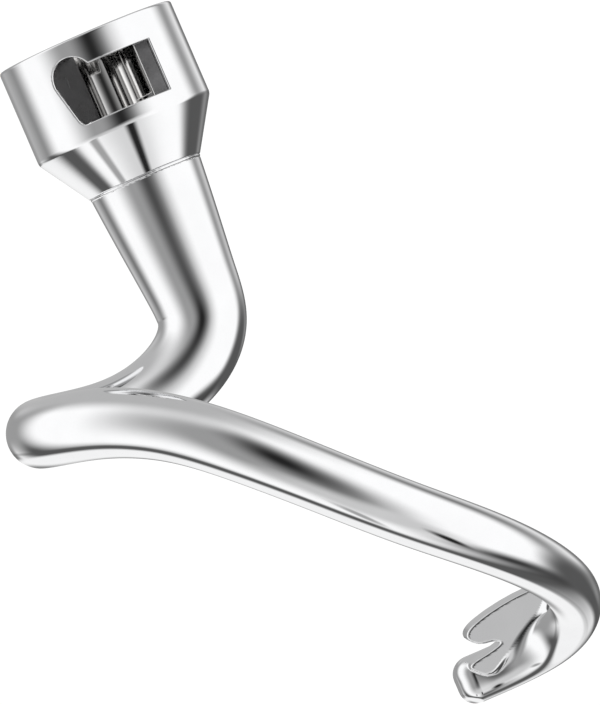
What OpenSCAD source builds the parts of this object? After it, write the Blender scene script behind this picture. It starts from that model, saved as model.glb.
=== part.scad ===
// Dough hook attachment for a stand mixer.
// A turned and milled bayonet collar slips over the mixer shaft; one forged rod is
// welded to it and bends round into a hook that ends in a flattened foot.
// Units are millimetres. The bore axis is Z, the open mouth of the bore is at z = 0,
// the hook hangs below it. Front is -Y.

/* [Collar] */
// outside diameter of the collar
collar_d = 33.5; // [28:0.1:40]
// length of the straight part of the collar
collar_len = 18; // [14:0.5:24]
// length of the cone under the straight part
cone_len = 9.4; // [6:0.1:14]
// diameter at the small end of the cone
cone_end_d = 21.6; // [18:0.1:26]
// chamfer round the outer edge of the mouth
mouth_chamfer = 0.5; // [0.2:0.1:1.5]

/* [Shaft Bore] */
// bore diameter, a half-inch shaft with running clearance
bore_d = 12.8; // [10:0.1:17]
// depth of the bore from the mouth
bore_depth = 19; // [15:0.5:22]

/* [Bayonet Window] */
// height of the upper edge of the window below the mouth
window_top = 5.4; // [3:0.1:8]
// height of the lower edge of the window below the mouth
window_bottom = 15.3; // [10:0.1:17]
// angle of the right end of the window
window_right = 39; // [30:0.5:60]
// angle of the left end of the window at mid height
window_left = -27.5; // [-45:0.5:-15]
// lean of the left end of the window
window_slant = 14; // [0:1:30]
// radius of the lower left corner of the window
corner_r = 1.3; // [0.5:0.1:3]
// angle of the centre of that corner
corner_angle = -20; // [-30:0.5:-10]
// radius of the pin seat rising from the upper edge
seat_r = 3.9; // [2:0.1:6]
// angle of the pin seat
seat_angle = -17; // [-30:0.5:0]
// height of the pin seat centre below the mouth
seat_z = 6.9; // [4:0.1:10]

/* [Pin Keyway] */
// width of the blind groove that lets the cross pin in from the mouth
keyway_w = 6.2; // [4:0.1:9]
// reach of the groove from the bore axis
keyway_reach = 11.5; // [9:0.1:15]
// angle of the groove
keyway_angle = 23.5; // [0:0.5:45]

/* [Rod] */
// number of sides of the rod
rod_sides = 36; // [16:4:48]
// rings per control point
rod_rings = 5; // [3:1:8]
// length of the turned spigot inside the collar
spigot_len = 6; // [3:0.5:10]
// diameter of the turned spigot
spigot_d = 17.5; // [12:0.1:18]

/* [Foot Pad] */
// thickness of the flat pad raised on the foot
pad_t = 4.4; // [1:0.1:5]
// turn of the pad's face to the right
pad_turn = 8; // [0:0.5:20]
// lean of the pad's face towards the ground
pad_lean = 12; // [0:0.5:20]

/* [Weld Seam] */
// thickness of the weld ring round the joint
seam_t = 0.5; // [0.3:0.1:1]

/* [Hidden] */
$fa = 3;
$fs = 0.4;
collar_r = collar_d / 2;
cone_end_z = -collar_len - cone_len;
slack = 0.05;

// control points of the rod: x, y, z, half thickness across, half height, squareness;
// seen from above, the front of the hook winds round a circle of about 41 mm radius
ROD = [
  [0, 0, -27.9, 10.6, 10.6, 2],
  [0, 0, -37, 9.8, 9.8, 2],
  [0, 0, -48, 8.6, 8.6, 2],
  [0, 0, -56, 8, 8, 2],
  [-6, -2, -62, 7.5, 7.5, 2],
  [-15, -4, -65, 7, 7, 2],
  [-24, -7, -65, 6.5, 6.5, 2],
  [-34, -12, -63, 6.5, 6.5, 2],
  [-36, -20, -63, 6.2, 6.2, 2],
  [-34, -28, -64, 6.2, 6.2, 2],
  [-24, -36, -66, 6.5, 6.5, 2],
  [-13, -42, -72, 6, 6, 2],
  [-3, -46, -81, 6, 6, 2],
  [8, -46, -92, 5.8, 5.8, 2],
  [20, -43, -104, 5.8, 5.8, 2],
  [34, -33, -116, 5.5, 5.5, 2],
  [43, -9, -127, 4.8, 4.8, 2],
  [38, 8, -132.5, 4.4, 4.4, 2],
  [30, 13, -133.5, 4.4, 4.4, 2.2],
  [23, 14, -133.6, 4.4, 4.4, 2.5],
  [19, 13.5, -133.6, 4.4, 4.4, 2.8],
  [16.5, 13, -133.6, 4.4, 4.4, 2.8],
];

// uniform cubic spline through a list of control points
function spline_weights(t) =
  [pow(1 - t, 3), 3 * pow(t, 3) - 6 * pow(t, 2) + 4,
   -3 * pow(t, 3) + 3 * pow(t, 2) + 3 * t + 1, pow(t, 3)] / 6;
function spline_at(p, i, t) = spline_weights(t) * [p[i], p[i + 1], p[i + 2], p[i + 3]];
function with_ends(p) = concat([2 * p[0] - p[1]], p, [2 * p[len(p) - 1] - p[len(p) - 2]]);
function spline_path(p, n) = let (q = with_ends(p))
  concat([for (i = [0 : len(q) - 4]) for (k = [0 : n - 1]) spline_at(q, i, k / n)],
    [spline_at(q, len(q) - 4, 1)]);

function unit(v) = v / norm(v);
function xyz(v) = [v[0], v[1], v[2]];
function heading(path, i) =
  unit(xyz(path[min(i + 1, len(path) - 1)]) - xyz(path[max(i - 1, 0)]));
function carried(side, dir) = unit(side - (side * dir) * dir);
function radius_towards(d, dir, s) = let (
    across = unit(cross(dir, [0.001, 0.001, 1])),
    up = cross(across, dir))
  1 / pow(pow(abs(d * across) / s[3], s[5]) + pow(abs(d * up) / s[4], s[5]), 1 / s[5]);
function ring(s, dir, side, sides, scale) = let (other = cross(dir, side))
  [for (k = [0 : sides - 1]) let (
      a = 360 * k / sides,
      d = cos(a) * side + sin(a) * other)
    xyz(s) + scale * radius_towards(d, dir, s) * d];

// a rod swept along a path, closed with a flat disc at the start and a rounded end
module swept_rod(path, sides, end_round) {
  n = len(path);
  dirs = [for (i = [0 : n - 1]) heading(path, i)];
  sides_of = [for (i = 0, s = carried([1, 0, 0], dirs[0]); i < n;
    i = i + 1, s = i < n ? carried(s, dirs[i]) : s) s];
  body = [for (i = [0 : n - 1]) each ring(path[i], dirs[i], sides_of[i], sides, 1)];
  last = path[n - 1];
  steps = 4;
  tip = [for (j = [1 : steps]) let (
      a = 90 * j / steps,
      c = concat(xyz(last) + end_round * sin(a) * dirs[n - 1], [last[3], last[4], last[5]]),
      shrink = 1 - end_round * (1 - cos(a)) / last[3])
    each ring(c, dirs[n - 1], sides_of[n - 1], sides, shrink)];
  points = concat(body, tip);
  rings = n + steps;
  faces = concat(
    [[for (k = [0 : sides - 1]) k]],
    [for (i = [0 : rings - 2]) for (k = [0 : sides - 1]) let (m = (k + 1) % sides)
      each [[i * sides + k, (i + 1) * sides + m, i * sides + m],
       [i * sides + k, (i + 1) * sides + k, (i + 1) * sides + m]]],
    [[for (k = [sides - 1 : -1 : 0]) (rings - 1) * sides + k]]);
  polyhedron(points = points, faces = faces, convexity = 10);
}

// a wedge-shaped sector standing on the bore axis between two angles from the front
module sector(a0, a1, z0, z1, r) {
  translate([0, 0, z0])
    rotate([0, 0, a0 - 90])
      rotate_extrude(angle = a1 - a0)
        translate([3, 0])
          square([r - 3, z1 - z0]);
}

// a round hole drilled square to the bore axis through the front wall
module radial_hole(angle, depth, r) {
  rotate([0, 0, angle])
    translate([0, 0, -depth])
      rotate([90, 0, 0])
        cylinder(r = r, h = collar_r + 2);
}

// the window cut through the wall, with its raised pin seat and slanted left end
module window_cut() {
  reach = collar_r + 2;
  shoulder = seat_z + 0.5;
  mid = (window_top + window_bottom) / 2;
  sector(seat_angle, window_right, -window_bottom, -window_top, reach);
  difference() {
    sector(window_left - 20, seat_angle + 2, -window_bottom + corner_r, -shoulder, reach);
    rotate([0, 0, window_left])
      translate([0, 0, -mid])
        rotate([0, -window_slant, 0])
          translate([-reach, -reach - 1, -reach])
            cube([reach, reach + 1, 2 * reach]);
  }
  sector(corner_angle, seat_angle + 2, -window_bottom, -window_bottom + 2 * corner_r, reach);
  radial_hole(seat_angle, seat_z, seat_r);
  radial_hole(corner_angle, window_bottom - corner_r, corner_r);
}

module collar() {
  color([0.8, 0.81, 0.83])
    difference() {
      rotate_extrude()
        polygon([
          [0, 0],
          [collar_r - mouth_chamfer, 0],
          [collar_r, -mouth_chamfer],
          [collar_r, -collar_len],
          [cone_end_d / 2, cone_end_z],
          [0, cone_end_z]]);
      translate([0, 0, -bore_depth])
        cylinder(d = bore_d, h = bore_depth + 1);
      rotate([0, 0, keyway_angle])
        translate([-keyway_w / 2, -keyway_reach, -window_bottom + 1])
          cube([keyway_w, keyway_reach, window_bottom + 1]);
      window_cut();
      translate([0, 0, cone_end_z - 1])
        cylinder(d = spigot_d + 2 * slack, h = spigot_len + 1);
    }
}

// outline of the flat pressed pad on the foot, two short fingers pointing left
module pad_outline() {
  offset(r = 0.5)
    offset(delta = -0.5)
      polygon([
        [-3.6, 1.4], [-3.3, 2.3], [-1.3, 3.4], [2.7, 4.4], [6.2, 5], [10.5, 5.2], [13.2, 4],
        [12.8, 1], [9.5, -2.2], [5.7, -4.5], [1.6, -6.1], [-1.8, -6.4], [-3.2, -6], [-4.4, -5],
        [-5, -3.8], [-4.4, -3.1], [-2.2, -2.7], [0.4, -2.1], [1.4, -1.6], [0.4, -1], [-1.6, -0.8],
        [-3, 0.3]]);
}

module hook_arm() {
  color([0.78, 0.79, 0.81]) {
    swept_rod(spline_path(ROD, rod_rings), rod_sides, 1.2);
    translate([0, 0, cone_end_z - seam_t - 2])
      cylinder(d = spigot_d, h = spigot_len + seam_t + 2 - slack);
    translate([24, 7.2, -128])
      rotate([90 + pad_lean, 0, pad_turn])
        translate([0, 0, -pad_t])
          linear_extrude(pad_t)
            pad_outline();
  }
}

module weld_seam() {
  color([0.7, 0.7, 0.72])
    translate([0, 0, cone_end_z - seam_t])
      difference() {
        cylinder(d = cone_end_d - 0.1, h = seam_t);
        translate([0, 0, -1])
          cylinder(d = spigot_d + 2 * slack, h = seam_t + 2);
      }
}

collar();
hook_arm();
weld_seam();
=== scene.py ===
import bpy
import math
import numpy as np
from mathutils import Matrix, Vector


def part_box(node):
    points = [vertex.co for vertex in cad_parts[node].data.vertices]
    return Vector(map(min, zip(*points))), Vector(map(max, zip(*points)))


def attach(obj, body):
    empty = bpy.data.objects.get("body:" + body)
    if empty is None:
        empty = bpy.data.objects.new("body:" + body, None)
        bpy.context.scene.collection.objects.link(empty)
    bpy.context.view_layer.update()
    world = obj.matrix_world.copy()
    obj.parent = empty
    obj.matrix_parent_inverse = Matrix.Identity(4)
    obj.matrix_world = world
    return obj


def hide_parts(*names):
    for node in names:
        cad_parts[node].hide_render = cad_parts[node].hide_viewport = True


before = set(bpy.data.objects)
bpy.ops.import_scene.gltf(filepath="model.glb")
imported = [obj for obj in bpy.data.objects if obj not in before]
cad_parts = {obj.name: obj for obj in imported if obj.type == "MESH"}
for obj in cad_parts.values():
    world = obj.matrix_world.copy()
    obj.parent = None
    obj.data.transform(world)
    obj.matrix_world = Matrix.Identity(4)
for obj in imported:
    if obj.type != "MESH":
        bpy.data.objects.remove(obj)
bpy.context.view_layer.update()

scene = bpy.context.scene
MM = 0.001
# points worked on at once, so that the arrays stay small
CHUNK = 200000
# slack round each CAD part's box while its surface is searched, in millimetres
MARGIN = 1


# ---------------------------------------------------------------- solids as distance fields
# Each piece is a function that gives the distance to its surface in millimetres, negative
# inside, so that blends and edge radii are exact. mesh_of() turns the function into quads.

def unit(v):
    return v / np.linalg.norm(v, axis=-1, keepdims=True)


def smoothstep(x, start, end):
    t = np.clip((x - start) / (end - start), 0, 1)
    return t * t * (3 - 2 * t)


def common(a, b, radius):
    """What two solids share, with the edge between them rounded."""
    outside = np.hypot(np.maximum(a + radius, 0), np.maximum(b + radius, 0))
    return np.minimum(np.maximum(a, b), -radius) + outside


def cut(a, b, radius):
    """The first solid without the second, with the edge between them rounded."""
    return common(a, -b, radius)


def blended(a, b, width):
    """Both solids together, with a fillet about as wide as the given width."""
    h = np.maximum(width - np.abs(a - b), 0) / width
    return np.minimum(a, b) - h * h * width / 4


def slope(field, p, step=0.004):
    """Direction in which the distance grows fastest."""
    corners = np.array([(1, -1, -1), (-1, -1, 1), (-1, 1, -1), (1, 1, 1)], float)
    return sum(c * field(p + c * step)[:, None] for c in corners) / (4 * step)


def in_chunks(work, p):
    return np.concatenate([work(p[i:i + CHUNK]) for i in range(0, len(p), CHUNK)])


def mesh_of(field, low, high, cell, block=8):
    """Vertices, normals and quads of the surface where the distance is zero."""
    low = np.array(low, float)
    blocks = np.ceil((np.array(high, float) - low) / (cell * block)).astype(int)
    at = np.stack(np.meshgrid(*[np.arange(n) for n in blocks], indexing="ij"), -1).reshape(-1, 3)
    rough = in_chunks(field, low + (at + 0.5) * cell * block)
    value = np.ones(blocks * block + 1, np.float32)
    near = np.abs(rough) < cell * block * 1.3
    for b in at[(rough < 0) & ~near]:
        x, y, z = b * block
        value[x:x + block + 1, y:y + block + 1, z:z + block + 1] = -1
    nodes = np.stack(np.meshgrid(*[np.arange(block + 1)] * 3, indexing="ij"), -1).reshape(-1, 3)
    index = (at[near][:, None] * block + nodes).reshape(-1, 3)
    value[tuple(index.T)] = in_chunks(field, low + index * cell)

    inside = value < 0
    corner = [(a, b, c) for a in (0, 1) for b in (0, 1) for c in (0, 1)]
    n = np.array(value.shape) - 1

    def shifted(grid, c):
        return grid[c[0]:c[0] + n[0], c[1]:c[1] + n[1], c[2]:c[2] + n[2]]

    count = sum(shifted(inside, c).astype(np.int8) for c in corner)
    cells = np.argwhere((count > 0) & (count < 8))
    v = np.stack([value[tuple((cells + c).T)] for c in corner], -1).astype(float)
    total, hits = np.zeros((len(cells), 3)), np.zeros((len(cells), 1))
    for i, a in enumerate(corner):
        for j, b in enumerate(corner):
            if j > i and np.abs(np.subtract(a, b)).sum() == 1:
                crossed = (v[:, i] < 0) != (v[:, j] < 0)
                t = v[:, i] / np.where(crossed, v[:, i] - v[:, j], 1)
                total += crossed[:, None] * (np.array(a) + t[:, None] * np.subtract(b, a))
                hits += crossed[:, None]
    points = low + (cells + total / hits) * cell
    # walk every vertex onto the surface
    for _ in range(3):
        g = in_chunks(lambda q: slope(field, q), points)
        f = in_chunks(field, points)
        move = -(f / np.maximum((g * g).sum(1), 0.2))[:, None] * g
        points += np.clip(move, -cell / 2, cell / 2)
    normals = unit(in_chunks(lambda q: slope(field, q), points))

    number = np.full(n, -1, np.int32)
    number[tuple(cells.T)] = np.arange(len(cells))
    quads = []
    for axis in range(3):
        d = np.eye(3, dtype=int)[axis]
        u, w = np.roll(d, 1), np.roll(d, 2)
        a = inside[:n[0], :n[1], :n[2]]
        b = inside[d[0]:d[0] + n[0], d[1]:d[1] + n[1], d[2]:d[2] + n[2]]
        edge = np.argwhere(a != b)
        edge = edge[((edge * (u + w)).sum(1) > 0) & ((edge @ u) > 0) & ((edge @ w) > 0)]
        quad = np.stack([number[tuple((edge - s).T)] for s in (u + w, w, 0 * u, u)], -1)
        flip = ~a[tuple(edge.T)]
        quad[flip] = quad[flip][:, ::-1]
        quads.append(quad)
    return points, normals, np.concatenate(quads)


def piece(name, node_name, field, cell, finish_of=None):
    """A Blender object made from a distance field, in place of one CAD node.
    finish_of gives each face's material index from its centre."""
    low, high = [np.array(v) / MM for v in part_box(node_name)]
    points, normals, quads = mesh_of(field, low - MARGIN, high + MARGIN, cell)
    mesh = bpy.data.meshes.new(name)
    mesh.from_pydata((points * MM).tolist(), [], quads.tolist())
    mesh.shade_smooth()
    mesh.normals_split_custom_set_from_vertices(normals.tolist())
    if finish_of:
        picked = finish_of(points[quads].mean(1))
        mesh.polygons.foreach_set("material_index", picked.astype(np.int32))
    obj = bpy.data.objects.new(name, mesh)
    scene.collection.objects.link(obj)
    return obj


# ---------------------------------------------------------------- hook arm
# control points of the rod in millimetres: x, y, z, half thickness across, half height, squareness;
# seen from above, the front of the hook winds round a circle of about 41 mm radius
ROD = np.array([
    (0, 0, -27.9, 10.6, 10.6, 2),
    (0, 0, -37, 9.8, 9.8, 2),
    (0, 0, -48, 8.6, 8.6, 2),
    (0, 0, -56, 8, 8, 2),
    (-6, -2, -62, 7.5, 7.5, 2),
    (-15, -4, -65, 7, 7, 2),
    (-24, -7, -65, 6.5, 6.5, 2),
    (-34, -12, -63, 6.5, 6.5, 2),
    (-36, -20, -63, 6.2, 6.2, 2),
    (-34, -28, -64, 6.2, 6.2, 2),
    (-24, -36, -66, 6.5, 6.5, 2),
    (-13, -42, -72, 6, 6, 2),
    (-3, -46, -81, 6, 6, 2),
    (8, -46, -92, 5.8, 5.8, 2),
    (20, -43, -104, 5.8, 5.8, 2),
    (34, -33, -116, 5.5, 5.5, 2),
    (43, -9, -127, 4.8, 4.8, 2),
    (38, 8, -132.5, 4.4, 4.4, 2),
    (30, 13, -133.5, 4.4, 4.4, 2.2),
    (23, 14, -133.6, 4.4, 4.4, 2.5),
    (19, 13.5, -133.6, 4.4, 4.4, 2.8),
    (16.5, 13, -133.6, 4.4, 4.4, 2.8),
])
ROD_TOP = ROD[0, 2]
# how far the foot runs past the last control point, and the radius of its end
FOOT_END, FOOT_ROUND = 1.2, 3.2
SPIGOT_R, SPIGOT_LEN = 8.75, 6

# the cubic spline starts and ends on the first and last control points
guide = np.vstack([2 * ROD[0] - ROD[1], ROD, 2 * ROD[-1] - ROD[-2]])
last_span = len(ROD) - 1


def along_spline(u, order=0):
    """Point on the rod's spline at parameter u, or its first or second derivative."""
    i = np.clip(np.floor(u).astype(int), 0, last_span - 1)
    t = u - i
    if order == 0:
        w = [(1 - t) ** 3, 3 * t ** 3 - 6 * t ** 2 + 4, -3 * t ** 3 + 3 * t ** 2 + 3 * t + 1, t ** 3]
    elif order == 1:
        w = [-3 * (1 - t) ** 2, 9 * t ** 2 - 12 * t, -9 * t ** 2 + 6 * t + 3, 3 * t ** 2]
    else:
        w = [6 * (1 - t), 18 * t - 12, 6 - 18 * t, 6 * t]
    return sum(w[k][:, None] * guide[i + k] for k in range(4)) / 6


MARKS_PER_SPAN = 16
marks = np.arange(0, last_span * MARKS_PER_SPAN + 1) / MARKS_PER_SPAN
mark_points = along_spline(marks)[:, :3]


def rod(p):
    """The swept rod: nearest place on the spline, then the distance to the section there."""
    far = ((mark_points ** 2).sum(1) - 2 * (p @ mark_points.T)).astype(np.float32)
    u = marks[far.argmin(1)]
    for _ in range(3):
        gap = along_spline(u)[:, :3] - p
        d1, d2 = along_spline(u, 1)[:, :3], along_spline(u, 2)[:, :3]
        bend = np.maximum((d1 * d1).sum(1) + (gap * d2).sum(1), 0.2 * (d1 * d1).sum(1))
        u = np.clip(u - (gap * d1).sum(1) / bend, 0, last_span)
    here, ahead = along_spline(u), along_spline(u, 1)[:, :3]
    pace = np.linalg.norm(ahead, axis=1)
    ahead = ahead / pace[:, None]
    across = unit(np.cross(ahead, (0.001, 0.001, 1)))
    up = np.cross(across, ahead)
    off = p - here[:, :3]
    x, y, q = (off * across).sum(1), (off * up).sum(1), here[:, 5]
    reach = np.hypot(x, y) + 1e-9
    wide = (np.abs(x / here[:, 3]) ** q + np.abs(y / here[:, 4]) ** q) ** (1 / q) + 1e-9
    side = reach - reach / wide
    past = (off * ahead).sum(1) + (u - last_span) * pace
    return common(np.maximum(side, p[:, 2] - ROD_TOP), past - FOOT_END, FOOT_ROUND)


# the flat pad pressed on the foot: where its face is, which way it looks, and its outline
PAD_AT = np.array([24, 7.2, -128])
PAD_TURN, PAD_LEAN = math.radians(8), math.radians(12)
PAD_THICK = 4.4
# edge radius of the pad: crisp above, rolled over along its lower right side
PAD_EDGE = (0.5, 2.6)
# radius of a ball round the pad, and how near to its place the exact distance is worked out
PAD_BALL, PAD_NEAR = 16, 24
PAD_FACING = np.array([
    math.cos(PAD_LEAN) * math.sin(PAD_TURN),
    -math.cos(PAD_LEAN) * math.cos(PAD_TURN),
    -math.sin(PAD_LEAN),
])
PAD_RIGHT = np.array([math.cos(PAD_TURN), math.sin(PAD_TURN), 0])
PAD_UP = np.cross(PAD_FACING, PAD_RIGHT)
# two short fingers pointing left with a narrow notch between them
PAD_OUTLINE = np.array([
    (-4.0, 1.3), (-3.6, 2.6), (-1.3, 3.7), (2.7, 4.6), (6.2, 5.1), (10.5, 5.4), (14, 4.5), (13.5, 1),
    (9.5, -2.4), (5.7, -4.8), (1.6, -6.4), (-1.8, -6.6), (-3.3, -6.1), (-4.4, -5.1), (-5.6, -3.8),
    (-4.6, -2.9),
    (-2.2, -2.6), (0.4, -2.1), (1.5, -1.7), (1.5, -1.5), (0.4, -0.9), (-1.6, -0.8), (-3.2, 0.2),
])
# fillet between pad and rod: narrow at the finger tips, wide towards the bend, and where it widens
FILLET, FILLET_FROM, FILLET_TO = (0.4, 1.4), 21, 30


def closed_curve(points, per_span):
    n = len(points)
    t = np.arange(per_span)[:, None] / per_span
    w = [(1 - t) ** 3, 3 * t ** 3 - 6 * t ** 2 + 4, -3 * t ** 3 + 3 * t ** 2 + 3 * t + 1, t ** 3]
    return np.concatenate([sum(w[k] * points[(i + k) % n] for k in range(4)) / 6 for i in range(n)])


pad_curve = closed_curve(PAD_OUTLINE, 6)


def inside_outline(q, curve):
    """Distance in the plane to a closed curve, negative inside."""
    best = np.full(len(q), 1e9)
    turns = np.zeros(len(q), bool)
    for a, b in zip(curve, np.roll(curve, -1, 0)):
        d = b - a
        t = np.clip(((q - a) @ d) / (d @ d), 0, 1)
        best = np.minimum(best, ((q - a - t[:, None] * d) ** 2).sum(1))
        between = (a[1] > q[:, 1]) != (b[1] > q[:, 1])
        rise = np.where(abs(d[1]) > 1e-12, d[1], 1)
        turns ^= between & (q[:, 0] < a[0] + d[0] * (q[:, 1] - a[1]) / rise)
    return np.where(turns, -1, 1) * np.sqrt(best)


def pad(p):
    off = p - PAD_AT
    near = np.abs(off).max(1) < PAD_NEAR
    out = np.linalg.norm(off, axis=1) - PAD_BALL
    off = off[near]
    flat = np.stack([off @ PAD_RIGHT, off @ PAD_UP], -1)
    height = off @ PAD_FACING
    slab = np.abs(height + PAD_THICK / 2) - PAD_THICK / 2
    rolled = smoothstep(0.53 * flat[:, 0] - 0.85 * flat[:, 1], 2.4, 5) * smoothstep(flat[:, 0], -3, 1.5)
    edge = PAD_EDGE[0] + (PAD_EDGE[1] - PAD_EDGE[0]) * rolled * (height > -PAD_THICK / 2)
    out[near] = common(inside_outline(flat, pad_curve), slab, edge)
    return out


def hook_arm(p):
    width = FILLET[0] + (FILLET[1] - FILLET[0]) * smoothstep(p[:, 0], FILLET_FROM, FILLET_TO)
    forged = blended(rod(p), pad(p), width)
    spigot = np.maximum(np.hypot(p[:, 0], p[:, 1]) - SPIGOT_R, np.abs(p[:, 2] - ROD_TOP) - SPIGOT_LEN)
    return np.minimum(forged, spigot)


arm = piece("forged_rod", "hook_arm", hook_arm, 0.3)
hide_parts("hook_arm")
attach(arm, "root")

# ---------------------------------------------------------------- collar
COLLAR_R, COLLAR_LEN = 16.75, 18
CONE_END_R, CONE_LEN = 10.8, 9.4
BORE_R, BORE_DEPTH = 6.4, 19
KEY_ANGLE, KEY_HALF, KEY_REACH, KEY_DEPTH = math.radians(23.5), 3.1, 11.5, 14.3
RIM_ROUND, CONE_ROUND, WINDOW_ROUND, SMALL_ROUND = 0.45, 0.25, 0.28, 0.15
SLACK = 0.05
# window in the unrolled wall: distance round the wall from the front, and height
WINDOW_RIGHT, WINDOW_TOP, WINDOW_BOTTOM = 11.4, -5.4, -15.3
SEAT, SEAT_R = np.array((-4.97, -6.9)), 3.9
CORNER, CORNER_R = np.array((-5.75, -14.0)), 1.3
# pocket behind the window, between two radial walls
POCKET_LEFT, POCKET_RIGHT, POCKET_TOP = math.radians(30.5), math.radians(39), -2.7
# wall left outside the pocket, and how far in from it the window is cut
SKIN, SKIN_START = 0.9, 12


def capsule(q, a, ra, b, rb):
    """Distance to two circles of different size with tangents drawn round both."""
    axis = b - a
    length = np.linalg.norm(axis)
    axis = axis / length
    x = np.abs((q - a) @ np.array([axis[1], -axis[0]]))
    y = (q - a) @ axis
    lean = (ra - rb) / length
    cosine = math.sqrt(1 - lean * lean)
    k = -lean * x + cosine * y
    straight = cosine * x + lean * y - ra
    first = np.hypot(x, y) - ra
    second = np.hypot(x, y - length) - rb
    return np.where(k < 0, first, np.where(k > cosine * length, second, straight))


def window(p, r):
    angle = np.arctan2(p[:, 0], -p[:, 1])
    q = np.stack([angle * COLLAR_R, p[:, 2]], -1)
    middle = (WINDOW_TOP + WINDOW_BOTTOM) / 2
    across = np.abs(q[:, 0] - (WINDOW_RIGHT + SEAT[0]) / 2) - (WINDOW_RIGHT - SEAT[0]) / 2
    across = across * np.clip(r / COLLAR_R, 0.2, 1)
    slot = np.maximum(across, np.abs(q[:, 1] - middle) - (WINDOW_TOP - WINDOW_BOTTOM) / 2)
    seat = capsule(q, SEAT, SEAT_R, CORNER, CORNER_R)
    opening = np.maximum(np.minimum(slot, seat), SKIN_START - r)
    left = p[:, 0] * -math.cos(POCKET_LEFT) + p[:, 1] * math.sin(POCKET_LEFT)
    right = p[:, 0] * math.cos(POCKET_RIGHT) + p[:, 1] * math.sin(POCKET_RIGHT)
    pocket = np.maximum(left, right)
    pocket = np.maximum(pocket, np.maximum(p[:, 2] - POCKET_TOP, WINDOW_BOTTOM - p[:, 2]))
    pocket = np.maximum(np.maximum(pocket, r - COLLAR_R + SKIN), p[:, 1] + 1)
    return opening, pocket


def collar(p):
    r, z = np.hypot(p[:, 0], p[:, 1]), p[:, 2]
    edge = np.hypot(COLLAR_R - CONE_END_R, CONE_LEN)
    cone = ((r - COLLAR_R) * CONE_LEN - (z + COLLAR_LEN) * (COLLAR_R - CONE_END_R)) / edge
    body = common(common(r - COLLAR_R, cone, CONE_ROUND), z, RIM_ROUND)
    body = common(body, -COLLAR_LEN - CONE_LEN - z, SMALL_ROUND)
    bore = np.maximum(r - BORE_R, -BORE_DEPTH - z)
    x = p[:, 0] * math.cos(KEY_ANGLE) + p[:, 1] * math.sin(KEY_ANGLE)
    y = p[:, 0] * math.sin(KEY_ANGLE) - p[:, 1] * math.cos(KEY_ANGLE)
    key = np.maximum(np.abs(x) - KEY_HALF, np.abs(y - KEY_REACH / 2) - KEY_REACH / 2)
    key = np.maximum(key, -KEY_DEPTH - z)
    socket = np.maximum(r - SPIGOT_R - SLACK, z - (ROD_TOP + SPIGOT_LEN))
    opening, pocket = window(p, r)
    hollow = np.minimum(np.minimum(bore, key), pocket)
    return np.maximum(cut(cut(body, hollow, SMALL_ROUND), opening, WINDOW_ROUND), -socket)


def finish_and_shade_inside(centres):
    """Finish of each face: 0 turned outside, 1 rough pocket wall on the left, darkened with painted
    shade, 2 reamed inside.
    """
    r, z = np.hypot(centres[:, 0], centres[:, 1]), centres[:, 2]
    inside = (r < COLLAR_R - 0.45) & (z < -0.3) & (z > -COLLAR_LEN + 0.5)
    # the pocket's left wall gets the darkened steel, painted shade of the recess behind the window
    shaded_left_wall = (r > BORE_R + 0.1) & (centres[:, 0] < -3)
    return np.where(inside, np.where(shaded_left_wall, 1, 2), 0)


socket_piece = piece("turned_collar", "collar", collar, 0.22, finish_and_shade_inside)
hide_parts("collar")
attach(socket_piece, "root")


# ---------------------------------------------------------------- weld
WELD_R, WELD_Z, WELD_THICK = 10.4, -27.62, 0.3
RIPPLES, RIPPLE_DEPTH = 60, 0.006


def weld(p):
    r, z = np.hypot(p[:, 0], p[:, 1]), p[:, 2]
    ripple = RIPPLE_DEPTH * np.cos(RIPPLES * np.arctan2(p[:, 0], p[:, 1]))
    return np.hypot(r - WELD_R, z - WELD_Z) - WELD_THICK - ripple


bead = piece("weld_bead", "weld_seam", weld, 0.16)
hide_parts("weld_seam")
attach(bead, "root")

# ---------------------------------------------------------------- materials
# sizes of the clouds in tint and roughness, per metre, and how far each of them goes
TINT_CLOUDS, TINT_DARKEST = 160, 0.965
ROUGH_CLOUDS, ROUGH_LOW, ROUGH_HIGH = 220, 0.75, 1.3


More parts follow.
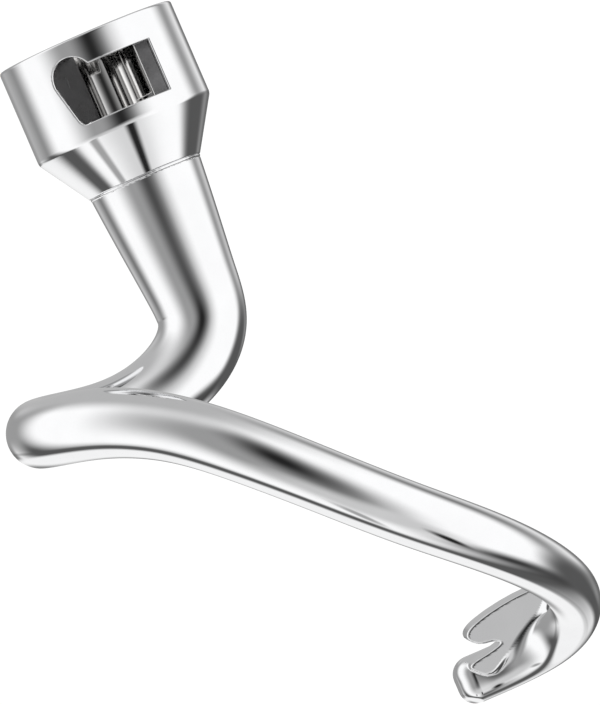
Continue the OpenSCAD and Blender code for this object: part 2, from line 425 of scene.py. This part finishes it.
def steel(name, colour, roughness, lines, line_depth, turned):
    """Worked steel: cloudy polish, and fine lines left by the tool or the wheel.
    lines is their number per metre, line_depth is in millimetres, and turned lines run round."""
    material = bpy.data.materials.new(name)
    material.use_nodes = True
    nodes, links = material.node_tree.nodes, material.node_tree.links
    shader = nodes["Principled BSDF"]
    shader.inputs["Metallic"].default_value = 1
    place = nodes.new("ShaderNodeTexCoord").outputs["Object"]

    def noise(scale, detail, stretch=(1, 1, 1)):
        mapping = nodes.new("ShaderNodeMapping")
        mapping.inputs["Scale"].default_value = stretch
        texture = nodes.new("ShaderNodeTexNoise")
        texture.inputs["Scale"].default_value = scale
        texture.inputs["Detail"].default_value = detail
        links.new(place, mapping.inputs["Vector"])
        links.new(mapping.outputs["Vector"], texture.inputs["Vector"])
        return texture.outputs["Fac"]

    def spread(value, low, high, start=0.3, end=0.7):
        n = nodes.new("ShaderNodeMapRange")
        links.new(value, n.inputs["Value"])
        ends = {"From Min": start, "From Max": end, "To Min": low, "To Max": high}
        for socket, number in ends.items():
            n.inputs[socket].default_value = number
        return n.outputs["Result"]

    tint = nodes.new("ShaderNodeMix")
    tint.data_type = "RGBA"
    links.new(spread(noise(TINT_CLOUDS, 3), 0, 1), tint.inputs["Factor"])
    tint.inputs["A"].default_value = tuple(c * TINT_DARKEST for c in colour) + (1,)
    tint.inputs["B"].default_value = tuple(colour) + (1,)
    links.new(tint.outputs["Result"], shader.inputs["Base Color"])
    uneven = spread(noise(ROUGH_CLOUDS, 4), roughness * ROUGH_LOW, roughness * ROUGH_HIGH)
    links.new(uneven, shader.inputs["Roughness"])
    stretch = (0.03, 0.03, 1) if turned else (1, 1, 0.08)
    bump = nodes.new("ShaderNodeBump")
    bump.inputs["Strength"].default_value = 1
    bump.inputs["Distance"].default_value = line_depth * MM
    links.new(noise(lines, 2, stretch), bump.inputs["Height"])
    links.new(bump.outputs["Normal"], shader.inputs["Normal"])
    return material


forged_steel = steel("forged_steel", (0.9, 0.902, 0.91), 0.045, 5000, 0.0006, False)
turned_steel = steel("turned_steel", (0.9, 0.902, 0.91), 0.05, 6000, 0.0008, True)
# rough machined steel for the pocket's left wall; its colour, darkened to 0.22, is painted shade of the
# recess
shaded_machined_steel = steel("shaded_machined_steel", (0.22, 0.22, 0.225), 0.42, 4000, 0.002, True)
bored_steel = steel("bored_steel", (0.95, 0.945, 0.94), 0.05, 4000, 0.0006, True)
for obj, finishes in ((arm, (forged_steel,)), (socket_piece, (turned_steel, shaded_machined_steel, bored_steel)),
                      (bead, (turned_steel,))):
    for finish in finishes:
        obj.data.materials.append(finish)
# the photographed rod does not mirror itself, so it is left out of reflections
arm.visible_glossy = False

# ---------------------------------------------------------------- camera
# a very long lens looks slightly upwards, rolled so that the collar leans to the left;
# HEIGHT is what the frame spans at the hook, in metres
ROLL = math.radians(23.4)
RISE = math.radians(2.2)
LENS, SENSOR = 1200, 36
HEIGHT = 0.1269
look = np.array([0, math.cos(RISE), math.sin(RISE)])
up0 = np.array([0, -math.sin(RISE), math.cos(RISE)])
east = np.array([1.0, 0, 0])
cam_right = math.cos(ROLL) * east - math.sin(ROLL) * up0
cam_up = math.sin(ROLL) * east + math.cos(ROLL) * up0
aim = 0.01305 * east - 0.06745 * up0
distance = HEIGHT * LENS / SENSOR
cam = bpy.data.objects.new("camera", bpy.data.cameras.new("camera"))
bpy.context.scene.collection.objects.link(cam)
cam.data.lens = LENS
cam.data.sensor_width = SENSOR
cam.data.clip_end = 60
m = np.eye(4)
m[:3, 0], m[:3, 1], m[:3, 2], m[:3, 3] = cam_right, cam_up, -look, aim - look * distance
cam.matrix_world = Matrix(m.tolist())
bpy.context.scene.camera = cam

# ---------------------------------------------------------------- studio
# The lights are laid out on the lit sphere: a polished ball at the object's place, seen by
# the camera, would show each of them at (right, up), with the ball's radius as 1.
# OUTLINE is the level straight behind the ball, which draws its thin dark edge; PAPER is the
# white that the camera and matt surfaces see.
OUTLINE, PAPER = 0.2, 1.05
LIGHTS = [
    # name, place (right, up), half size, turn in degrees, level, softness
    ("rear_wall", (0, 0), (0.97, 0.97), 0, 1.0, 0.02),
    ("dark_surround", (0, 0), (0.92, 0.92), 0, 0.1, 0.08),
    ("left_fill", (-0.95, 0.1), (0.3, 0.6), 0, 0.35, 0.6),
    ("softbox", (0, 0.05), (0.83, 0.75), 0, 1.1, 0.1),
    ("ceiling", (-0.25, 0.8), (0.6, 0.3), 10, 0.5, 0.5),
    ("low_flag", (0.5, -0.5), (0.3, 0.1), 15, 0.05, 0.9),
    ("right_flag", (0.85, -0.3), (0.1, 0.6), -10, 0.1, 0.6),
    ("camera_wall", (-0.1, 0), (0.35, 0.45), 10, 0.35, 0.45),
    ("low_bounce", (0.1, -0.35), (0.25, 0.15), 0, 0.65, 0.6),
    ("lens", (0, 0.1), (0.12, 0.25), 0, 0.02, 0.9),
    ("stand", (0.27, -0.45), (0.05, 0.08), 20, 0.02, 0.6),
    ("stand_left", (-0.08, -0.58), (0.04, 0.07), 20, 0.4, 0.6),
    ("floor_line", (-0.2, -0.7), (0.5, 0.04), -10, 0.1, 0.7),
    ("floor", (-0.1, -0.87), (0.6, 0.1), -10, 1.0, 0.3),
]

scene.view_settings.view_transform = "Standard"
# the floor lies well under the hook, below the lower edge of the camera's view
FLOOR_SIZE, FLOOR_Z = 6, -0.32
half_floor = FLOOR_SIZE / 2
sheet = bpy.data.meshes.new("floor")
corners = [(x * half_floor, y * half_floor, FLOOR_Z) for x, y in ((-1, -1), (1, -1), (1, 1), (-1, 1))]
sheet.from_pydata(corners, [], [(0, 1, 2, 3)])
floor = bpy.data.objects.new("floor", sheet)
scene.collection.objects.link(floor)
chalk = bpy.data.materials.new("pale_floor")
chalk.use_nodes = True
chalk_shader = chalk.node_tree.nodes["Principled BSDF"]
chalk_shader.inputs["Base Color"].default_value = (0.95, 0.95, 0.95, 1)
chalk_shader.inputs["Roughness"].default_value = 0.9
sheet.materials.append(chalk)
floor.visible_glossy = False

world = bpy.data.worlds.new("studio")
scene.world = world
world.use_nodes = True
tree = world.node_tree
tree.nodes.clear()


def node(kind, **settings):
    n = tree.nodes.new(kind)
    for key, value in settings.items():
        setattr(n, key, value)
    return n


def feed(socket, value):
    if isinstance(value, bpy.types.NodeSocket):
        tree.links.new(value, socket)
    else:
        socket.default_value = value


def calc(op, *values):
    n = node("ShaderNodeMath", operation=op)
    for socket, value in zip(n.inputs, values):
        feed(socket, value)
    return n.outputs[0]


def vector(op, *values):
    n = node("ShaderNodeVectorMath", operation=op)
    for socket, value in zip(n.inputs, values):
        feed(socket, value)
    return n


toward_camera = tuple(-look)
direction = node("ShaderNodeTexCoord").outputs["Generated"]
half = vector("NORMALIZE", vector("ADD", direction, toward_camera).outputs[0]).outputs[0]
ball = [vector("DOT_PRODUCT", half, tuple(axis)).outputs["Value"] for axis in (cam_right, cam_up)]


def light(level, place, size, turn, value, softness):
    """Lay one soft-edged ellipse of light over what is already there."""
    turn = math.radians(turn)
    right, up = (calc("SUBTRACT", b, p) for b, p in zip(ball, place))
    along = calc("ADD", calc("MULTIPLY", right, math.cos(turn) / size[0]),
                 calc("MULTIPLY", up, math.sin(turn) / size[0]))
    across = calc("SUBTRACT", calc("MULTIPLY", up, math.cos(turn) / size[1]),
                  calc("MULTIPLY", right, math.sin(turn) / size[1]))
    away = calc("SQRT", calc("ADD", calc("MULTIPLY", along, along), calc("MULTIPLY", across, across)))
    edge = node("ShaderNodeMapRange", interpolation_type="SMOOTHSTEP")
    feed(edge.inputs["Value"], away)
    ends = {"From Min": 1 - softness, "From Max": 1 + softness, "To Min": 1, "To Max": 0}
    for name, number in ends.items():
        edge.inputs[name].default_value = number
    mix = node("ShaderNodeMix", data_type="FLOAT")
    feed(mix.inputs[0], edge.outputs["Result"])
    feed(mix.inputs[2], level)
    feed(mix.inputs[3], value)
    return mix.outputs[0]


level = OUTLINE
for name, place, size, turn, value, softness in LIGHTS:
    level = light(level, place, size, turn, value, softness)
lights = node("ShaderNodeBackground")
feed(lights.inputs["Strength"], level)
lights.inputs["Color"].default_value = (1, 1, 1, 1)
paper = node("ShaderNodeBackground")
paper.inputs["Color"].default_value = (1, 1, 1, 1)
paper.inputs["Strength"].default_value = PAPER
pick = node("ShaderNodeMixShader")
ray = node("ShaderNodeLightPath")
feed(pick.inputs[0], calc("MAXIMUM", ray.outputs["Is Camera Ray"], ray.outputs["Is Diffuse Ray"]))
feed(pick.inputs[1], lights.outputs[0])
feed(pick.inputs[2], paper.outputs[0])
feed(node("ShaderNodeOutputWorld").inputs[0], pick.outputs[0])
